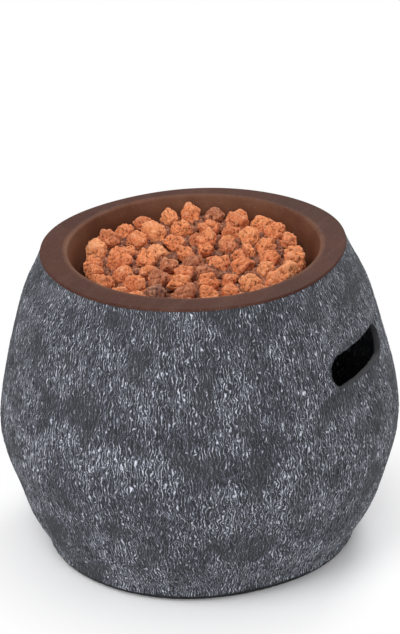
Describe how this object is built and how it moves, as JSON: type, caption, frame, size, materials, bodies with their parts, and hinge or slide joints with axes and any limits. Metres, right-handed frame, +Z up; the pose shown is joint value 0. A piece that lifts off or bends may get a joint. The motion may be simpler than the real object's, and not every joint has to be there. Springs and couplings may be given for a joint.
{
  "type": "gas fire pit bowl",
  "caption": "Squat round cast-stone bowl with a brown ring, lava rocks over a gas ring burner, hand slots, and a knob and spark igniter at the back.",
  "frame": {"origin": "on the floor under the middle of the bowl", "axes": "+Z up, X through the two hand slots, +Y towards the control panel"},
  "size_m": [0.4958, 0.499, 0.3976],
  "materials": {
    "stone_grey": "rough hammered cast stone, grey",
    "stone_brown": "smooth cast stone, brown",
    "lava": "porous terracotta lava rock",
    "stainless": "spun stainless",
    "screw_steel": "zinc plated",
    "brass": "turned brass",
    "tube_aluminium": "drawn tube",
    "die_cast": "die-cast",
    "panel_black": "textured black powder coat",
    "black_plastic": "moulded",
    "button_plastic": "moulded, gloss",
    "rubber": "matt",
    "ceramic_white": "glazed",
    "copper_lead": "bare copper capillary",
    "wire_jacket": "silicone jacket",
    "battery_wrap": "plain wrap",
    "nickel": "nickel plated"
  },
  "bodies": {
    "bowl": {"stone_body": "stone_grey", "rim_bowl": "stone_brown", "lava_rocks": "lava", "burner_tray": "stainless", "tray_screws": "screw_steel", "ring_burner": "stainless", "burner_locknut": "brass", "air_mixer": "die_cast", "gas_jet": "brass", "jet_elbow": "brass", "gas_feed_tube": "tube_aluminium", "tube_nuts": "brass", "gas_valve": "die_cast", "control_panel": "panel_black", "panel_screws": "screw_steel", "valve_screws": "screw_steel", "gas_inlet": "brass", "igniter_housing": "black_plastic", "igniter_nut": "black_plastic", "igniter_battery": "battery_wrap", "battery_contact": "nickel", "sensor_bracket": "stainless", "bracket_screw": "screw_steel", "spark_electrode": "ceramic_white", "spark_pin": "nickel", "thermocouple_tip": "nickel", "thermocouple_lead": "copper_lead", "igniter_lead": "wire_jacket", "rock_guard": "stainless", "rubber_feet": "rubber", "foot_screws": "screw_steel"},
    "push_pin": {"valve_push_pin": "screw_steel"},
    "knob": {"valve_stem": "nickel", "control_knob": "black_plastic"},
    "cap": {"igniter_cap": "black_plastic"},
    "button": {"igniter_button": "button_plastic"}
  },
  "joints": [
    {"name": "knob_push", "type": "slide", "parent": "bowl", "child": "push_pin", "axis": [0, -1, 0], "range_m": [0, 0.0035], "stiffness_N_per_m": 600},
    {"name": "knob_turn", "type": "hinge", "parent": "push_pin", "child": "knob", "pos_m": [-0.034, 0.2, 0.19], "axis": [0, 1, 0], "range_deg": [0, 180]},
    {"name": "cap_unscrew", "type": "slide", "parent": "bowl", "child": "cap", "axis": [0, 1, 0], "range_m": [0, 0.03]},
    {"name": "igniter_press", "type": "slide", "parent": "cap", "child": "button", "axis": [0, -1, 0], "range_m": [0, 0.004], "stiffness_N_per_m": 500}
  ]
}
